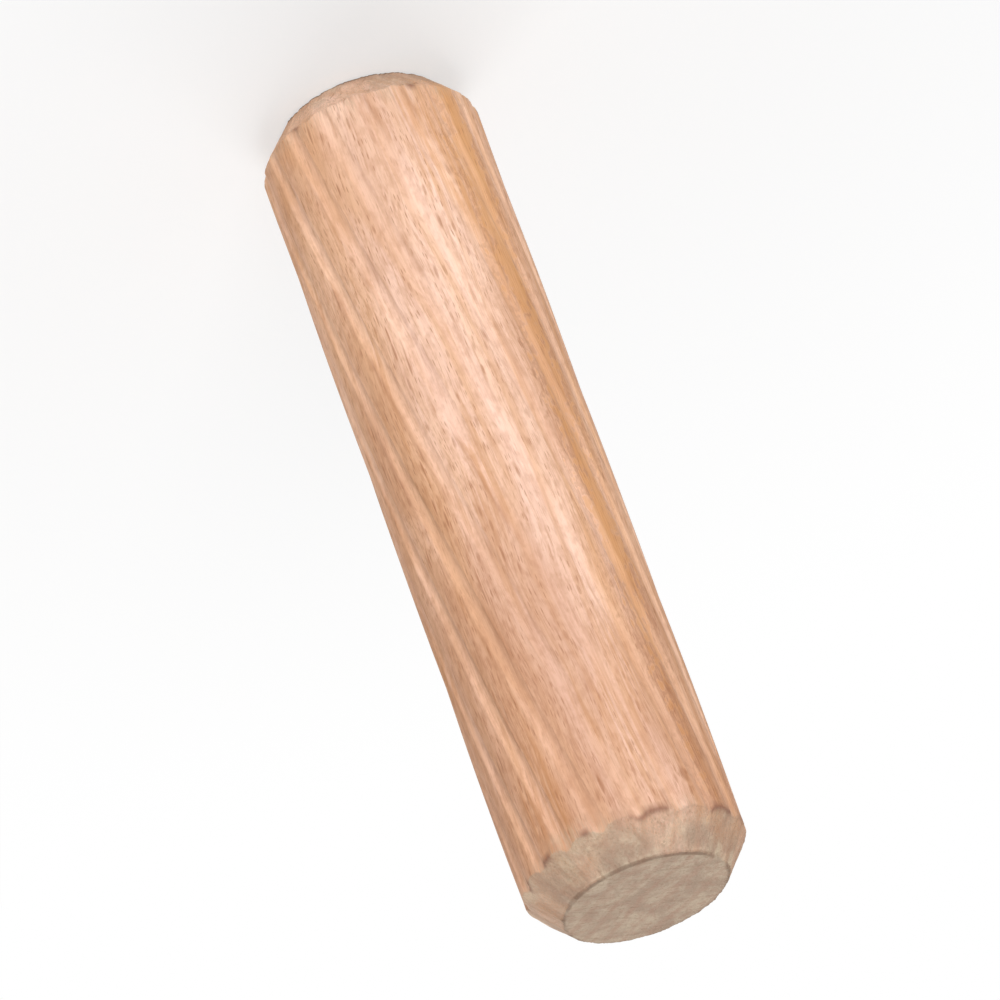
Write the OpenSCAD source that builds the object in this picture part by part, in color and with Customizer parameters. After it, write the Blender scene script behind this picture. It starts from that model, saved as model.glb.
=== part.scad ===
// Fluted wooden dowel pin, standing on one end face.
// The origin is at the middle of the lower end face and the pin's axis is +Z.
// All sizes are in millimetres, all angles in degrees.

/* [Pin] */
// Diameter across the lands, the strips left between the flutes
pin_d = 10; // [8:0.5:16]
// Length between the two flat end faces
pin_l = 40; // [20:1:80]

/* [Chamfered ends] */
// Length of each chamfer along the pin
chamfer_l = 1.6; // [0.8:0.1:3]
// Depth of each chamfer towards the axis
chamfer_depth = 1.3; // [0.8:0.1:2.5]

/* [Flutes] */
// Number of flutes around the pin
flute_count = 18; // [12:1:22]
// Depth of a flute below the lands
flute_depth = 0.15; // [0.1:0.05:0.4]
// Radius of a flute's hollow
flute_r = 0.55; // [0.4:0.05:0.7]
// How far a flute winds round the pin from end to end, left-handed
flute_turn = 75; // [10:5:100]

/* [Hidden] */
beech = [0.84, 0.66, 0.52];
pin_r = pin_d / 2;
end_face_r = pin_r - chamfer_depth;
// The flute cutters run past both ends, so that no skin is left there
overrun = 1;
// Turn in each millimetre of length, kept through the overrun
turn_per_mm = flute_turn / pin_l;
// One slice of the helix for every few degrees of turn
slice_turn = 4;
cut_l = pin_l + 2 * overrun;
cut_turn = turn_per_mm * cut_l;
cut_slices = ceil(cut_turn / slice_turn);
// Facets round the cutter of a flute
hollow_fn = 20;
blank_fn = 180;

// Half of the blank's outline, turned round the axis
module blank_outline() {
    polygon([
        [0, 0],
        [end_face_r, 0],
        [pin_r, chamfer_l],
        [pin_r, pin_l - chamfer_l],
        [end_face_r, pin_l],
        [0, pin_l]
    ]);
}

// Round rod, cut to length and chamfered at both ends
module blank() {
    rotate_extrude($fn = blank_fn) blank_outline();
}

// Inner half of the round cutter that hollows out one flute
module hollow() {
    difference() {
        circle(r = flute_r, $fn = hollow_fn);
        translate([0, -flute_r])
            square(2 * flute_r);
    }
}

// The cutters of all the flutes, side by side round the rod
module hollows() {
    for (i = [0 : flute_count - 1])
        rotate(i * 360 / flute_count)
            translate([pin_r - flute_depth + flute_r, 0])
                hollow();
}

// Helical cutters for all the flutes
module flutes() {
    translate([0, 0, -overrun])
        linear_extrude(height = cut_l, twist = cut_turn, slices = cut_slices)
            hollows();
}

module dowel_pin() {
    color(beech)
        difference() {
            blank();
            flutes();
        }
}

dowel_pin();
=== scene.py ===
"""The looks of a fluted beech dowel pin that stands on its end.

Its fine mesh comes first, then the wood, and then the floor, the camera and the light.
Lengths in the mesh code are millimetres, as in the part's source. Blender gets them in metres.
"""

import math

import bpy
import numpy as np
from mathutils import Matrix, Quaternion, Vector


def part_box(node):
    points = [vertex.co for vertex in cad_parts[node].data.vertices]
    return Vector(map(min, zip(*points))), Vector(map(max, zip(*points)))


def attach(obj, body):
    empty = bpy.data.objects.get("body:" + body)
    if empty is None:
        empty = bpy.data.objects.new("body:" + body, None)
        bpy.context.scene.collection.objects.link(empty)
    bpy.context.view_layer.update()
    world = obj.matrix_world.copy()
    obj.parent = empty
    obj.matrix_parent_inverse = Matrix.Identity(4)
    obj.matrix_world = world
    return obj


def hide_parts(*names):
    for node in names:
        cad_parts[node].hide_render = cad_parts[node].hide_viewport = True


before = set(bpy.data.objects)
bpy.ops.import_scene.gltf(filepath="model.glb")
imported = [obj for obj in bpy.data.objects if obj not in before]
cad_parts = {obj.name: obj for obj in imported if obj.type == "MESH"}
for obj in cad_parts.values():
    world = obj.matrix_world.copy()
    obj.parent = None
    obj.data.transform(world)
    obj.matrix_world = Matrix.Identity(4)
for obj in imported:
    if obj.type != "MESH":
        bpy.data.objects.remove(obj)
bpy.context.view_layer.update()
NODE = "dowel_pin"
MM = 0.001

# ---- The pin, as the part's source has it. Its radius and length come from the part's box in model.glb.
LOW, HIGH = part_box(NODE)
PIN_R = (HIGH.x - LOW.x) / 2 / MM
PIN_L = (HIGH.z - LOW.z) / MM
CHAMFER_L = 1.6
CHAMFER_DEPTH = 1.3
FLUTES = 18
FLUTE_DEPTH = 0.15
FLUTE_R = 0.55  # radius of a flute's hollow
FLUTE_TURN = math.radians(75)  # from end to end, left-handed
FLUTE_START = 1.0  # the cutters start this far below the pin, at angle 0
END_R = PIN_R - CHAMFER_DEPTH
HALF_WIDTH = math.sqrt(FLUTE_R**2 - (FLUTE_R - FLUTE_DEPTH) ** 2)  # of a flute, between its rims
RIM_PHASE = math.asin(HALF_WIDTH / PIN_R)  # the same as an angle round the axis

# ---- How the real surface departs from that form, always inwards
SKIN = 0.004  # the mesh stays this far inside the solid
WORN = 0.026  # the sides and chamfers lie this much further in, on average
RIM_SOFT = 0.024  # rounding of the flutes' rims
EDGE_SOFT = 0.03  # rounding of the chamfers' edges
CROWN = 0.035  # how much lower a land lies at its edges than at its middle
DEEP_SIDE = math.radians(-20)  # the fluting die sat off centre and bit deepest on this side
MEAN_DEPTH = 0.98  # share of their depth that the flutes have, all round
LEAST_DEPTH, MOST_DEPTH = 0.25, 1.25  # the smallest and the largest share at any place
OFF_CENTRE = 0.14  # how much that share gains on the deep side and loses on the other
WANDER = math.radians(0.4)  # how far a flute strays to each side of its helix
RIM_SHADE_WIDTH = 0.11  # how wide the dark line lies along a rim: painted shade of the flute's rim, and crushed fibres
TORN_SHADE_WIDTH = 0.12  # how wide the dark dashes lie along a chamfer's edge: painted shadow where the flutes run out, and torn fibres
BLEND_WIDTH = 0.14  # over what width the colour of a hollow goes over into a land's
CUT_BLEND = 0.05  # over what depth of a chamfer's cut its end grain takes over from the side
PALE_HOLLOW_DEPTH = 0.8  # a hollow is at its palest, partly painted light, from this share of its depth

# ---- Noise layers: cells round the pin, cells along it, seed, height
FADES = ((FLUTES, 9, 11, 0.14), (9, 5, 12, 0.08))  # in shares of a flute's depth
STRAYS = ((FLUTES, 14, 13, WANDER),)  # in radians
RIM_SHADE_STRETCHES = ((FLUTES, 16, 31, 1.0),), ((FLUTES, 16, 32, 1.0),)  # at a flute's two rims, where shade is painted along with crushed fibres
RIPPLES = ((90, 5, 21, 0.006), (34, 9, 22, 0.008))  # long and shallow, along the side
ROUGHNESS = ((110, 300, 23, 0.012),)  # on the chamfers
RAGGED = ((260, 40, 24, 0.03), (70, 40, 25, 0.03))  # on the chamfers' edges
RAGGED_IN = 0.03  # how far in the ragged chamfers lie, on average
RIM_SHADE_RAMP = (0.2, 0.6)  # the noise at which the painted rim shade and crushed fibres set in and are at their strongest
DASHES = ((44, 1, 26, 1.0),)  # where the dashes of painted shadow and torn fibres lie
DASH_RAMP = (0.3, 0.6)  # the same for those dashes

# ---- The mesh's density
HOLLOW_STEPS, RIM_STEPS, LAND_STEPS = 4, 3, 4  # over half a flute
RIM_SPREAD = 0.16 * RIM_PHASE  # how far the closer columns reach to each side of a rim
BODY_ROWS = 150
EDGE_ROWS = 14  # over the band where the flutes run out on the chamfer
EDGE_BAND = 0.42
EDGE_ABOVE = 0.1  # how far that band reaches past the chamfer
CHAMFER_ROWS = 9
FACE_ROWS = 12


def value_noise(u, v, cells_u, cells_v, seed):
    """Smooth noise from -1 to 1. u goes once round the pin and closes there, v runs from 0 to 1."""
    grid = np.random.default_rng(seed).uniform(-1, 1, (cells_u, cells_v + 1))
    a = (u % 1) * cells_u
    b = np.clip(v, 0, 1) * cells_v
    i = np.floor(a).astype(int) % cells_u
    j = np.minimum(np.floor(b).astype(int), cells_v - 1)
    s = a - np.floor(a)
    t = b - j
    s = s * s * (3 - 2 * s)
    t = t * t * (3 - 2 * t)
    k = (i + 1) % cells_u
    near = grid[i, j] * (1 - s) + grid[k, j] * s
    far = grid[i, j + 1] * (1 - s) + grid[k, j + 1] * s
    return near * (1 - t) + far * t


def noise_layers(u, v, layers):
    """The sum of some layers of noise."""
    return sum(value_noise(u, v, *cells_and_seed) * height for *cells_and_seed, height in layers)


def ramp(value, low, high):
    """0 below low, 1 above high, straight between."""
    return np.clip((value - low) / (high - low), 0, 1)


def soft_min(a, b, width):
    """The lower of a and b, rounded off where they cross."""
    h = np.clip(0.5 + (b - a) / (2 * width), 0, 1)
    return b * (1 - h) + a * h - width * h * (1 - h)


def column_phases():
    """Angles of the mesh's columns within one flute, closer together at the hollow's two rims."""
    half_pitch = math.pi / FLUTES
    before, after = RIM_PHASE - RIM_SPREAD, RIM_PHASE + RIM_SPREAD
    half = np.concatenate([
        np.linspace(0, before, HOLLOW_STEPS, endpoint=False),
        np.linspace(before, after, RIM_STEPS, endpoint=False),
        np.linspace(after, half_pitch, LAND_STEPS + 1),
    ])
    return np.concatenate([-half[:0:-1], half[:-1]])


def rim_crush_and_shade(phase, flute, z):
    """A dark line along a flute's rims, from 0 to 1, in stretches of a few mm: painted shade at the
    rims, and fibres that the die crushed there.
    """
    total = np.zeros(np.broadcast(phase, z).shape)
    for side, layers in zip((-1, 1), RIM_SHADE_STRETCHES):
        from_rim = (phase - side * RIM_PHASE * 0.9) * PIN_R
        near = np.exp(-((from_rim / RIM_SHADE_WIDTH) ** 2))
        stretch = noise_layers((flute + 0.5) / FLUTES, z / PIN_L, layers)
        total = np.maximum(total, near * ramp(stretch, *RIM_SHADE_RAMP))
    return total


def flute_surface(phase, flute, z):
    """Distance from the axis of the fluted side, and 1 in the hollows."""
    u = (flute + 0.5) / FLUTES
    v = z / PIN_L
    angle = 2 * math.pi * flute / FLUTES - FLUTE_TURN * (z + FLUTE_START) / PIN_L
    keep = MEAN_DEPTH + OFF_CENTRE * np.cos(angle - DEEP_SIDE) + noise_layers(u, v, FADES)
    keep = np.clip(keep, LEAST_DEPTH, MOST_DEPTH)
    centre = PIN_R - FLUTE_DEPTH * keep + FLUTE_R
    phase = phase + noise_layers(u, v, STRAYS)
    across = (centre * np.sin(phase)) ** 2
    inside = np.maximum(FLUTE_R**2 - across, 0)
    hollow = centre * np.cos(phase) - np.sqrt(inside)
    hollow = np.where(across < FLUTE_R**2, hollow, centre)
    from_hollow = np.abs(phase) * FLUTES / math.pi  # 0 in a hollow's middle, 1 in a land's
    land = PIN_R - CROWN * (1 - ramp(from_hollow, 0.5, 1)) ** 2
    r = soft_min(land, hollow, RIM_SOFT)
    inwards = (RIM_PHASE - np.abs(phase)) * PIN_R
    # the hollows' mask for their pale colour, which is partly painted light
    pale_lit_hollow = ramp(inwards, -BLEND_WIDTH / 2, BLEND_WIDTH / 2) * ramp(keep, 0, PALE_HOLLOW_DEPTH)
    return r, pale_lit_hollow


def profile():
    """Rows of the mesh as (radius, z), from the middle of the lower face to that of the upper one.

    The radius counts on the two faces only. Elsewhere the cone and the fluted side set it.
    """
    face = [(END_R * k / FACE_ROWS, 0) for k in range(1, FACE_ROWS)]
    band_high = CHAMFER_L + EDGE_ABOVE
    band_low = band_high - EDGE_BAND
    slope = np.concatenate([
        np.linspace(0, band_low, CHAMFER_ROWS, endpoint=False),
        np.linspace(band_low, band_high, EDGE_ROWS, endpoint=False),
    ])
    slope = [(END_R, z) for z in slope]
    body = [(PIN_R, z) for z in np.linspace(band_high, PIN_L - band_high, BODY_ROWS + 1)]
    top = [(r, PIN_L - z) for r, z in (face + slope)[::-1]]
    return np.array(face + slope + body + top)


def pin_mesh():
    """The pin's vertices as rows round the axis, with what the wood needs to know at each of them."""
    phases = column_phases()
    phase = np.tile(phases, FLUTES)
    flute = np.repeat(np.arange(FLUTES), len(phases))
    rows = profile()
    radius, z = rows[:, :1], rows[:, 1:]
    angle = 2 * math.pi * flute / FLUTES + phase - FLUTE_TURN * (z + FLUTE_START) / PIN_L
    u, v = angle / (2 * math.pi), z / PIN_L

    side, hollow = flute_surface(phase, flute, z)
    from_end = np.minimum(z, PIN_L - z)
    cone = END_R + from_end * CHAMFER_DEPTH / CHAMFER_L + noise_layers(u, v, RAGGED) - RAGGED_IN
    r = soft_min(side, cone, EDGE_SOFT)
    on_face = radius < END_R
    r = np.where(on_face, radius, r)
    end_grain = np.where(on_face, 1.0, ramp(side - cone, -CUT_BLEND / 2, CUT_BLEND / 2))
    dashes = ramp(noise_layers(u, v, DASHES), *DASH_RAMP)
    torn_and_shade = np.where(on_face, 0, np.exp(-(((side - cone) / TORN_SHADE_WIDTH) ** 2)) * dashes)
    uneven = noise_layers(u, v, RIPPLES) + noise_layers(u, v, ROUGHNESS) * end_grain
    r = r - np.where(on_face, 0, WORN + uneven) - SKIN

    lower = z < PIN_L / 2
    flat = np.where(on_face | (from_end <= 0), SKIN, from_end)
    zz = np.where(lower, flat, PIN_L - flat) * np.ones_like(r)
    x = r * np.cos(angle)
    y = r * np.sin(angle)
    known = {
        "hollow": hollow * np.ones_like(r),
        "end_grain": end_grain,
        # painted shade along the flutes' rims, with crushed fibres
        "crush_and_shade": rim_crush_and_shade(phase, flute, z) * (1 - end_grain),
        # painted shadow and torn fibres along the chamfers' edges
        "torn_and_shade": torn_and_shade,
    }
    return np.stack([x, y, zz], axis=-1), known


def add_attribute(mesh, name, values, at_middle):
    """One number for each vertex, for the material to read. Both faces' middles get at_middle."""
    layer = mesh.attributes.new(name, "FLOAT", "POINT")
    values = np.concatenate([[at_middle], values.ravel(), [at_middle]])
    layer.data.foreach_set("value", values.astype(np.float32))


def build_pin():
    """The pin as one closed mesh that stands for the CAD node."""
    grid, known = pin_mesh()
    n_rows, n_cols = grid.shape[:2]
    points = np.concatenate([
        [[0, 0, SKIN]], grid.reshape(-1, 3), [[0, 0, PIN_L - SKIN]]
    ]) * MM
    index = 1 + np.arange(n_rows * n_cols).reshape(n_rows, n_cols)
    after = np.roll(index, -1, axis=1)
    quads = np.stack([index[:-1], after[:-1], after[1:], index[1:]], axis=-1).reshape(-1, 4)
    last = len(points) - 1
    faces = quads.tolist()
    faces += [[0, int(b), int(a)] for a, b in zip(index[0], after[0])]
    faces += [[last, int(a), int(b)] for a, b in zip(index[-1], after[-1])]
    mesh = bpy.data.meshes.new("pin")
    mesh.from_pydata(points.tolist(), [], faces)
    mesh.update()
    mesh.shade_smooth()
    for name, values in known.items():
        add_attribute(mesh, name, values, 1 if name == "end_grain" else 0)
    pin = bpy.data.objects.new("pin", mesh)
    bpy.context.scene.collection.objects.link(pin)
    return pin


# ---- Colours, as sRGB values from 0 to 255
def srgb(r, g, b):
    """An sRGB colour as the linear one that a shader takes."""
    def linear(c):
        c = c / 255
        return c / 12.92 if c <= 0.04045 else ((c + 0.055) / 1.055) ** 2.4
    return (linear(r), linear(g), linear(b), 1)


PALE_WOOD = srgb(255, 218, 199)
MID_WOOD = srgb(249, 209, 182)
DARK_WOOD = srgb(196, 146, 114)
FLECK = srgb(160, 104, 70)
AMBER = srgb(214, 158, 102)
BROWN = srgb(164, 108, 70)
BURNISHED_AND_LIT = srgb(252, 212, 187)  # the hollows' pale colour: partly what the die pressed smooth, partly painted light
FLANK_SHADE_TAN = (0.94, 0.88, 0.775, 1)  # painted shade: what the flanks keep of each primary, the browner hue of shaded sides
RUDDY = (0.82, 0.745, 0.7, 1)  # what the wood keeps of each primary towards its upper end
END_PALE = srgb(196, 177, 154)
END_MID = srgb(170, 147, 127)
END_ROSE = srgb(174, 138, 118)
END_DARK = srgb(144, 118, 96)
CUT_PALE = srgb(218, 200, 172)  # cleanly cut parts of a chamfer
# dashes along a chamfer's edge: painted shadow where the flutes run out, with torn fibres
TORN_AND_SHADE = srgb(128, 80, 62)
EDGE_BRUISE_AND_SHADE = srgb(110, 84, 66)  # round an end face: painted shade at the edge, and bruised fibres

# ---- The board that the pin was cut from, in mm
PITH = (-36.0, 30.0)  # where the middle of the tree lies, seen from above
CUT_AT = 100.0  # how far along the board the pin's lower end lies
RING_GAP = 1.25
RING_WANDER = 2.6  # how far the rings stray from true circles
SAW_ANGLE = math.radians(20)  # how the scratches on the end faces run
BUMP_HEIGHT = 0.07  # of the fibres and scratches
BUMP_STRENGTH = 0.8
SHINE = 0.22  # dry wood reflects less than the shader's 0.5
MIDDLE_BAND_HALF = 2.5  # a paler middle band, this wide to each side, runs through the pin along Y; outside it lie the flanks as the main camera sees them, which get painted shade
MIDDLE_BAND_BLEND = 0.9  # how softly that band ends
STREAK = (-3.45, -3.4)  # an amber streak follows the grain here, seen from above
STREAK_R = 0.5
STREAK_ENDS = (26.0, 36.0)  # between these heights it thins out
RUDDY_HEIGHTS = (2.0, 42.0)  # between these the wood gets redder
GRAIN_TILT = (0.02, 0.06)  # how far the grain leans from the pin's axis, in radians
SWAY = (0.9, 0.9, 0)  # how far the grain strays sideways, in mm
SWAY_CELLS = (0.22, 0.22, 0.11)  # to a mm, along local x, y and z
# The wood's noises: cells to a mm along local x, y and z, detail and roughness.
WOOD_NOISE = {
    "broad": ((1.5, 1.5, 0.06), 4.0, 0.6),
    "fibre": ((4.6, 4.6, 0.14), 3.0, 0.6),
    "fine": ((15.0, 15.0, 1.1), 2.0, 0.6),
    "mottle": ((2.6, 2.6, 1.5), 2.0, 0.6),
    "patch": ((0.5, 0.5, 0.08), 2.0, 0.5),
    "cloud": ((0.26, 0.26, 0.11), 2.0, 0.5),
    "wander": ((0.16, 0.16, 0.03), 3.0, 0.4),
}
# The same for what doesn't follow the grain, along the pin's own axes.
END_NOISE = {
    "chance": ((1.1, 1.1, 0.6), 1.0, 0.5),
    "patchy": ((0.7, 0.7, 0.7), 3.0, 0.6),
    "grit": ((8.0, 8.0, 8.0), 2.0, 0.6),
    "clean": ((0.4, 0.4, 0.4), 1.0, 0.5),
    "saw": ((0.3, 4.0, 0.5), 3.0, 0.6),
}
# Pores and ray flecks: the room that one takes along local x, y and z, in mm, its size as a share of
# the room, the share of the rooms that hold one, and how strongly it shows.
FLECKS = (
    ((0.11, 0.11, 0.8), 0.3, 0.6, 0.5),
    ((0.22, 1.2, 2.2), 0.28, 0.35, 0.55),
    ((0.24, 0.34, 1.3), 0.3, 0.4, 0.38),
)
END_RAYS = ((0.24, 3.2, 3.2), 0.3, 0.45, 0.3)

MIX_A, MIX_B, MIX_RESULT = 6, 7, 2  # the Mix node's sockets for colours


class Nodes:
    """Short calls that build the node tree of a material or a world."""

    def __init__(self, owner):
        owner.use_nodes = True
        self.tree = owner.node_tree
        self.tree.nodes.clear()

    def put(self, socket, value):
        if isinstance(value, bpy.types.NodeSocket):
            self.tree.links.new(value, socket)
        elif value is not None:
            socket.default_value = value

    def node(self, kind, inputs=(), **settings):
        made = self.tree.nodes.new("ShaderNode" + kind)
        for name, value in settings.items():
            setattr(made, name, value)
        for key, value in dict(inputs).items():
            self.put(made.inputs[key], value)
        return made

    def math(self, operation, a, b=None):
        made = self.node("Math", operation=operation)
        for socket, value in zip(made.inputs, (a, b)):
            self.put(socket, value)
        return made.outputs[0]

    def times(self, a, b):
        return self.math("MULTIPLY", a, b)

    def plus(self, a, b):
        return self.math("ADD", a, b)

    def less(self, a, b):
        return self.math("SUBTRACT", a, b)

    def rest(self, value):
        """What is left of 1."""
        return self.less(1.0, value)

    def length(self, x, y):
        return self.math("SQRT", self.plus(self.times(x, x), self.times(y, y)))

    def scaled(self, vector, x, y, z):
        made = self.node("VectorMath", operation="MULTIPLY")
        self.put(made.inputs[0], vector)
        made.inputs[1].default_value = (x, y, z)
        return made.outputs[0]

    def parts(self, vector):
        return self.node("SeparateXYZ", {"Vector": vector}).outputs

    def noise(self, point, cells, detail, roughness):
        """Noise from 0 to 1, as the tables above list it."""
        made = self.node("TexNoise", {"Vector": self.scaled(point, *cells), "Scale": 1.0,
                                      "Detail": detail, "Roughness": roughness})
        return made.outputs["Fac"]

    def span(self, value, low, high):
        """0 below low, 1 above high, smooth between."""
        made = self.node("MapRange", {"Value": value, "From Min": low, "From Max": high},
                         interpolation_type="SMOOTHSTEP")
        return made.outputs[0]

    def mix(self, factor, a, b, blend="MIX"):
        made = self.node("Mix", {0: factor, MIX_A: a, MIX_B: b}, data_type="RGBA", blend_type=blend)
        return made.outputs[MIX_RESULT]

    def tint(self, colour, pattern, share, other):
        """The colour with a share of another laid over it where the pattern is."""
        return self.mix(self.times(pattern, share), colour, other)

    def seen(self):
        """1 where the camera looks, straight, in a mirror or through glass."""
        rays = self.node("LightPath").outputs
        seen = self.math("MAXIMUM", rays["Is Camera Ray"], rays["Is Glossy Ray"])
        return self.math("MAXIMUM", seen, rays["Is Transmission Ray"])

    def flecks(self, point, cell, size, share):
        """Short spindles, 1 inside one. cell is the room that each has in x, y and z."""
        place = self.scaled(point, *(1 / c for c in cell))
        cells = self.node("TexVoronoi", {"Vector": place, "Scale": 1.0})
        chance = self.node("SeparateColor", {"Color": cells.outputs["Color"]}).outputs[0]
        inside = self.rest(self.span(cells.outputs["Distance"], size * 0.5, size))
        return self.times(inside, self.math("LESS_THAN", chance, share))


class Wood:
    """The patterns of the wood at a point, each from 0 to 1, in a frame that follows its grain.

    x, y and z are the point's own place in the pin, in mm.
    """

    def __init__(self, n, point):
        self.n = n
        self.x, self.y, self.z = n.parts(point)
        # local x runs along the rings, local y outwards from the pith, local z along the grain
        turn = math.atan2(-PITH[1], -PITH[0]) - math.pi / 2
        leaning = n.node("VectorRotate", {"Vector": point, "Rotation": (*GRAIN_TILT, -turn)},
                         rotation_type="EULER_XYZ").outputs[0]
        along = n.node("VectorMath", {0: leaning, 1: (0, 0, CUT_AT)}, operation="ADD").outputs[0]
        sway = n.node("TexNoise", {"Vector": n.scaled(along, *SWAY_CELLS),
                                   "Scale": 1.0, "Detail": 1.0}).outputs["Color"]
        self.local = n.node("VectorMath", {0: n.scaled(sway, *SWAY), 1: along},
                            operation="ADD").outputs[0]
        self.broad = self.pattern("broad")
        self.fibre = self.pattern("fibre")
        self.fine = self.pattern("fine")
        self.mottle = self.pattern("mottle")
        self.patch = self.pattern("patch")
        self.cloud = self.pattern("cloud")
        self.late = self.growth_rings()

    def pattern(self, name):
        return self.n.noise(self.local, *WOOD_NOISE[name])

    def growth_rings(self):
        """Darkening towards the end of each year's ring."""
        n = self.n
        sideways, outwards, _ = n.parts(self.local)
        reach = n.length(n.plus(outwards, math.hypot(*PITH)), sideways)
        reach = n.plus(reach, n.times(self.pattern("wander"), RING_WANDER))
        year = n.math("FRACT", n.math("DIVIDE", reach, RING_GAP))
        return n.times(n.span(year, 0.5, 0.9), n.rest(n.span(year, 0.9, 1.0)))

    def outer(self):
        """1 on the flanks, outside the paler middle band along Y; shade is painted there."""
        n = self.n
        side = n.plus(n.math("ABSOLUTE", self.x), n.times(n.less(self.patch, 0.5), 2.4))
        return n.span(side, MIDDLE_BAND_HALF - MIDDLE_BAND_BLEND, MIDDLE_BAND_HALF + MIDDLE_BAND_BLEND)

    def streak(self):
        """The amber streak, and the brown that borders it."""
        n = self.n
        off = n.length(n.less(self.x, STREAK[0]), n.less(self.y, STREAK[1]))
        off = n.plus(off, n.times(n.less(self.fibre, 0.5), 1.6))
        off = n.plus(off, n.times(n.less(self.mottle, 0.5), 2.4))
        off = n.plus(off, n.times(n.span(self.z, *STREAK_ENDS), 0.5))
        inside = n.rest(n.span(off, STREAK_R * 0.6, STREAK_R * 1.4))
        border = n.span(off, STREAK_R, STREAK_R * 1.5)
        border = n.times(border, n.rest(n.span(off, STREAK_R * 1.5, STREAK_R * 2.2)))
        return inside, border


def wood_colour(n, wood):
    """Steamed beech cut along the grain: fibres, growth rings and slow changes of colour."""
    colour = n.mix(n.span(wood.broad, 0.32, 0.68), MID_WOOD, PALE_WOOD)
    colour = n.tint(colour, n.span(wood.cloud, 0.42, 0.64), 0.28, DARK_WOOD)
    colour = n.tint(colour, wood.late, 0.32, AMBER)
    colour = n.tint(colour, n.span(wood.fibre, 0.4, 0.75), 0.4, DARK_WOOD)
    colour = n.tint(colour, n.span(wood.mottle, 0.42, 0.7), 0.35, DARK_WOOD)
    return colour


def side_colour(n, wood, hollow, crush_and_shade):
    """The wood, with its pores and ray flecks, with what the die left on it, and with painted light
    and shade on its flutes and flanks.
    """
    colour = wood_colour(n, wood)
    # the hollows are paler and the lands between them darker: partly what the die left, partly painted
    # light and shade of the flutes, most on the flanks
    land = n.rest(n.times(hollow, 0.6))
    outer = wood.outer()
    dull_and_shaded = n.times(n.rest(hollow), n.plus(0.05, n.times(outer, 0.18)))
    colour = n.tint(colour, dull_and_shaded, 1.0, DARK_WOOD)
    colour = n.tint(colour, n.times(land, n.span(wood.fine, 0.45, 0.75)), 0.6, DARK_WOOD)
    amber = n.times(n.span(wood.patch, 0.55, 0.7), n.span(wood.fibre, 0.4, 0.6))
    colour = n.tint(colour, amber, 0.4, AMBER)
    inside, border = wood.streak()
    colour = n.tint(colour, border, 0.35, BROWN)
    colour = n.tint(colour, inside, 0.6, AMBER)
    # painted shade: the flanks get the browner hue of shaded sides
    colour = n.mix(outer, colour, n.mix(1.0, colour, FLANK_SHADE_TAN, "MULTIPLY"))
    # redder towards the upper end, in drifts
    upwards = n.plus(wood.z, n.times(wood.x, 1.5))
    upwards = n.plus(upwards, n.times(n.less(wood.cloud, 0.5), 30))
    upwards = n.span(upwards, *RUDDY_HEIGHTS)
    colour = n.mix(upwards, colour, n.mix(1.0, colour, RUDDY, "MULTIPLY"))
    # pale hollows: partly burnished, partly painted light
    pale_lit_hollow = n.times(hollow, n.plus(0.04, n.times(outer, 0.08)))
    colour = n.tint(colour, pale_lit_hollow, 1.0, BURNISHED_AND_LIT)
    # dark lines along the rims: painted shade of the flutes, and crushed fibres
    colour = n.tint(colour, crush_and_shade, 0.42, BROWN)
    for cell, size, chance, share in FLECKS:
        pattern = n.times(land, n.flecks(wood.local, cell, size, chance))
        colour = n.tint(colour, pattern, share, FLECK)
    return colour


class Ends:
    """The patterns of the end faces and chamfers, each from 0 to 1.

    from_middle is how far above or below the pin's middle a point lies, and reach how far from its
    axis, both in mm.
    """

    def __init__(self, n, point, wood):
        self.n = n
        self.point = point
        self.wood = wood
        self.from_middle = n.math("ABSOLUTE", n.less(wood.z, PIN_L / 2))
        self.face = n.span(self.from_middle, PIN_L / 2 - 0.12, PIN_L / 2 - 0.05)
        self.reach = n.length(wood.x, wood.y)
        self.chance = n.noise(point, *END_NOISE["chance"])
        self.patchy = n.noise(point, *END_NOISE["patchy"])
        self.grit = n.noise(point, *END_NOISE["grit"])
        self.saw = self.saw_marks()

    def saw_marks(self):
        """Fine scratches that the saw left across the end faces."""
        n = self.n
        across = n.node("VectorRotate", {"Vector": self.point, "Angle": SAW_ANGLE},
                        rotation_type="Z_AXIS").outputs[0]
        return n.span(n.noise(across, *END_NOISE["saw"]), 0.45, 0.7)

    def bruise_and_shade_line(self):
        """A dark line round a face, with gaps: painted shade at its edge, and bruised fibres."""
        n = self.n
        line = n.times(n.span(self.reach, END_R - 0.18, END_R - 0.05),
                       n.span(self.from_middle, PIN_L / 2 - 0.16, PIN_L / 2 - 0.1))
        return n.times(line, n.span(self.chance, 0.3, 0.55))

    def share(self):
        """How much of the end grain's colour shows. The chamfers are cut cleaner than the faces,
        most of all near the side and at the lower end."""
        n = self.n
        clean = n.times(n.span(self.reach, END_R - 0.1, PIN_R - 0.1), 0.35)
        drifts = n.span(n.noise(self.point, *END_NOISE["clean"]), 0.4, 0.55)
        clean = n.plus(clean, n.times(drifts, 0.45))
        clean = n.plus(clean, n.times(n.math("LESS_THAN", self.wood.z, PIN_L / 2), 0.3))
        return n.math("MAXIMUM", n.less(0.95, clean), n.times(self.face, 0.95))

    def dulled(self):
        """A strip of the side next to each chamfer."""
        n = self.n
        uneven = n.plus(self.from_middle, n.times(n.less(self.chance, 0.5), 2.4))
        edge = PIN_L / 2 - CHAMFER_L
        return n.times(n.span(uneven, edge - 1.0, edge + 0.5), n.span(self.wood.fine, 0.35, 0.6))


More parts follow.
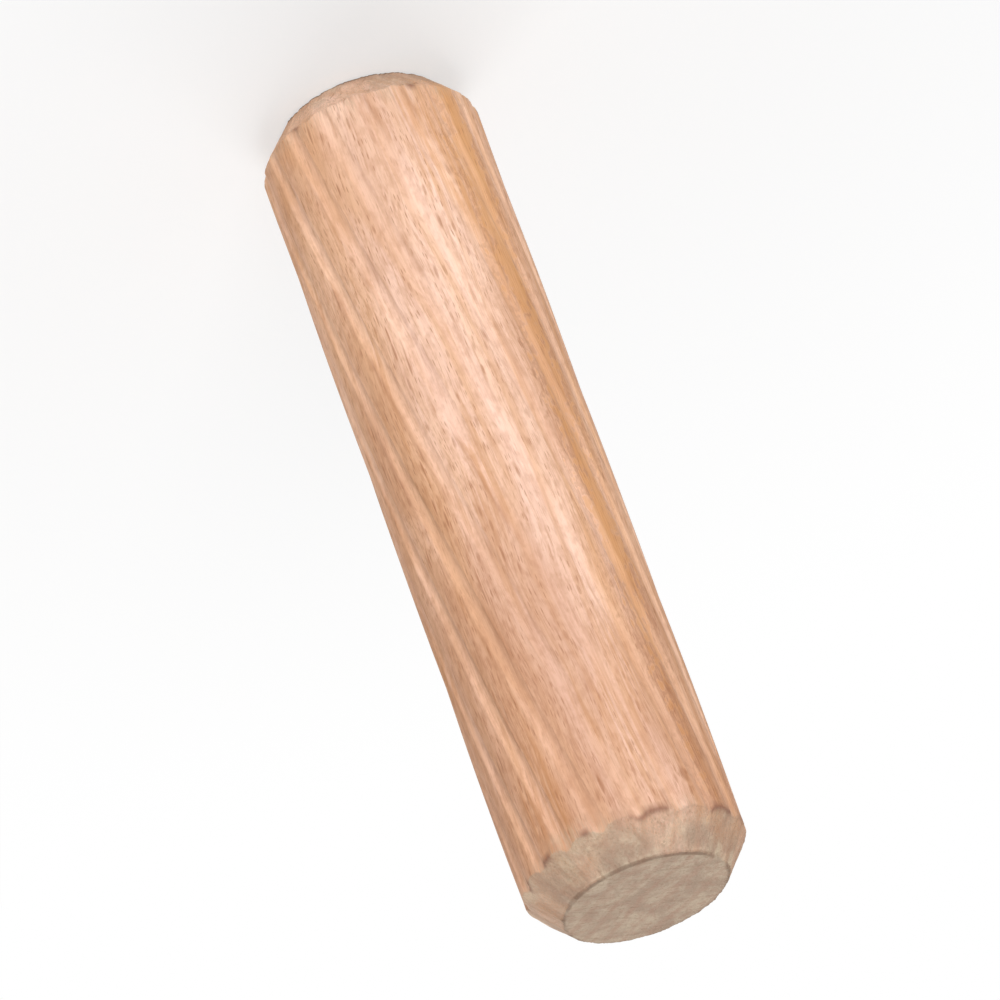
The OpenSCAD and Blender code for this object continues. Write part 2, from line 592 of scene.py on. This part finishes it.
def end_colour(n, wood, ends):
    """Duller end grain: rings, the rays as short strokes, saw marks, and the line round the face,
    partly painted shade.
    """
    colour = n.mix(n.span(ends.patchy, 0.35, 0.65), END_MID, END_PALE)
    cut = n.times(n.rest(ends.face), n.span(ends.patchy, 0.45, 0.6))
    colour = n.tint(colour, cut, 0.5, CUT_PALE)
    colour = n.tint(colour, n.span(wood.late, 0.2, 0.8), 0.35, END_ROSE)
    colour = n.tint(colour, n.span(wood.mottle, 0.48, 0.62), 0.4, END_ROSE)
    cell, size, chance, share = END_RAYS
    colour = n.tint(colour, n.flecks(wood.local, cell, size, chance), share, END_DARK)
    colour = n.tint(colour, n.span(ends.grit, 0.45, 0.75), 0.45, END_DARK)
    colour = n.tint(colour, n.times(ends.face, ends.saw), 0.22, END_DARK)
    return n.tint(colour, ends.bruise_and_shade_line(), 0.6, EDGE_BRUISE_AND_SHADE)


def beech():
    """Steamed beech, with duller end grain on the faces and, less clearly, on the chamfers."""
    material = bpy.data.materials.new("beech")
    n = Nodes(material)
    point = n.scaled(n.node("TexCoord").outputs["Object"], 1 / MM, 1 / MM, 1 / MM)
    end_grain, hollow, crush_and_shade, torn_and_shade = (n.node("Attribute", attribute_name=name).outputs["Fac"]
                                        for name in ("end_grain", "hollow", "crush_and_shade", "torn_and_shade"))
    wood = Wood(n, point)
    ends = Ends(n, point, wood)
    side = n.tint(side_colour(n, wood, hollow, crush_and_shade), ends.dulled(), 0.4, END_PALE)
    colour = n.mix(n.times(end_grain, ends.share()), side, end_colour(n, wood, ends))
    # dark dashes along the chamfers' edges: painted shadow, and torn fibres
    colour = n.tint(colour, torn_and_shade, 0.68, TORN_AND_SHADE)

    relief = n.plus(n.times(wood.fine, 0.5), n.times(wood.fibre, 0.8))
    cut = n.plus(n.times(ends.grit, 0.8), n.times(n.times(ends.saw, ends.face), 0.5))
    relief = n.plus(relief, n.times(cut, end_grain))
    bump = n.node("Bump", {"Height": relief, "Strength": BUMP_STRENGTH,
                              "Distance": BUMP_HEIGHT * MM})
    rough = n.plus(0.6, n.times(wood.fine, 0.2))
    shader = n.node("BsdfPrincipled", {"Base Color": colour, "Roughness": rough,
                                       "Specular IOR Level": SHINE, "Normal": bump.outputs[0]})
    n.node("OutputMaterial", {"Surface": shader.outputs[0]})
    return material


# ---- Studio
WHITE = (1, 1, 1, 1)
FLOOR_R = 2.5
FLOOR_SIDES = 96
FLOOR_COLOUR = (0.93, 0.93, 0.93, 1)
FADE_SHARE = 0.55  # how much of the white already lies over the floor right at the pin
FADE_START, FADE_END = 0.005, 0.07  # how far from the pin the floor fades into the white
AMBIENT = 0.47
VIEW_AZIMUTH = 7.0
VIEW_ELEVATION = 27.0  # how far above square to the pin's axis the photograph looks at it
VIEW_ROLL = 159.8  # the pin's upper end points down to the right, 20 degrees off the picture's upright
VIEW_WIDTH = 0.043  # what the picture takes in at the pin
LENS = 300.0
SENSOR = 36.0
LAMP_DISTANCE = 0.5
# The key comes from the picture's upper side: right, up and towards the viewer, as the camera sees it.
KEY_FROM = (0.06, 0.36, 0.92)
KEY_SIZE = 0.2
KEY_POWER = 1.57
# The other lamps: name, direction from the pin, size and power.
LAMPS = (
    ("top", (0.0, 0.55, 0.83), 0.3, 1.1),
    ("back", (0.5, 0.84, 0.2), 0.16, 0.5),
)


def floor_material():
    """White floor that keeps soft shadows and fades into the white surroundings."""
    material = bpy.data.materials.new("floor")
    n = Nodes(material)
    away = n.node("VectorMath", {0: n.node("TexCoord").outputs["Object"]}, operation="LENGTH")
    white = n.node("Emission", {"Color": WHITE, "Strength": 1.0})
    paint = n.node("BsdfDiffuse", {"Color": FLOOR_COLOUR})
    fade = n.node("MapRange", {"Value": away.outputs["Value"], "From Min": FADE_START,
                               "From Max": FADE_END, "To Min": FADE_SHARE},
                  interpolation_type="SMOOTHSTEP")
    share = n.times(n.seen(), fade.outputs[0])
    mixed = n.node("MixShader", {0: share, 1: paint.outputs[0], 2: white.outputs[0]})
    n.node("OutputMaterial", {"Surface": mixed.outputs[0]})
    return material


def build_floor():
    """A large round floor at the height that the pin stands on."""
    angles = [2 * math.pi * k / FLOOR_SIDES for k in range(FLOOR_SIDES)]
    points = [(0, 0, LOW.z)]
    points += [(FLOOR_R * math.cos(angle), FLOOR_R * math.sin(angle), LOW.z) for angle in angles]
    faces = [(0, 1 + k, 1 + (k + 1) % FLOOR_SIDES) for k in range(FLOOR_SIDES)]
    mesh = bpy.data.meshes.new("floor")
    mesh.from_pydata(points, [], faces)
    floor = bpy.data.objects.new("floor", mesh)
    bpy.context.scene.collection.objects.link(floor)
    mesh.materials.append(floor_material())


def build_camera(centre):
    """A camera nine pin lengths off behind a long lens, as the photographed pin's taper asks for."""
    azimuth, elevation = math.radians(VIEW_AZIMUTH), math.radians(VIEW_ELEVATION)
    back = Vector((math.sin(azimuth) * math.cos(elevation),
                   -math.cos(azimuth) * math.cos(elevation),
                   math.sin(elevation)))
    data = bpy.data.cameras.new("camera")
    data.lens = LENS
    data.sensor_width = SENSOR
    distance = VIEW_WIDTH * LENS / SENSOR
    data.clip_start = distance / 100
    data.clip_end = distance * 20
    camera = bpy.data.objects.new("camera", data)
    bpy.context.scene.collection.objects.link(camera)
    camera.location = centre + back * distance
    camera.rotation_mode = "QUATERNION"
    level = (-back).to_track_quat("-Z", "Y")
    camera.rotation_quaternion = level @ Quaternion((0, 0, 1), math.radians(VIEW_ROLL))
    bpy.context.scene.camera = camera
    return camera


def add_lamp(name, centre, direction, size, power):
    """A square soft lamp that shines at the pin from the given direction."""
    data = bpy.data.lights.new(name, "AREA")
    data.shape = "SQUARE"
    data.size = size
    data.energy = power
    lamp = bpy.data.objects.new(name, data)
    bpy.context.scene.collection.objects.link(lamp)
    towards = Vector(direction).normalized()
    lamp.location = centre + towards * LAMP_DISTANCE
    lamp.rotation_mode = "QUATERNION"
    lamp.rotation_quaternion = towards.to_track_quat("Z", "Y")
    lamp.visible_camera = False


def build_world(strength):
    """Even white light from all round, and a white background for the camera."""
    world = bpy.data.worlds.new("surroundings")
    bpy.context.scene.world = world
    n = Nodes(world)
    level = n.node("MapRange", {"Value": n.seen(), "To Min": strength, "To Max": 1.0})
    background = n.node("Background", {"Color": WHITE, "Strength": level.outputs[0]})
    n.node("OutputWorld", {"Surface": background.outputs[0]})


centre = (LOW + HIGH) / 2
pin = build_pin()
pin.data.materials.append(beech())
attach(pin, "root")
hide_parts(NODE)

build_floor()
camera = build_camera(centre)
build_world(AMBIENT)
add_lamp("key", centre, camera.rotation_quaternion @ Vector(KEY_FROM), KEY_SIZE, KEY_POWER)
for name, direction, size, power in LAMPS:
    add_lamp(name, centre, direction, size, power)
bpy.context.scene.view_settings.view_transform = "Standard"
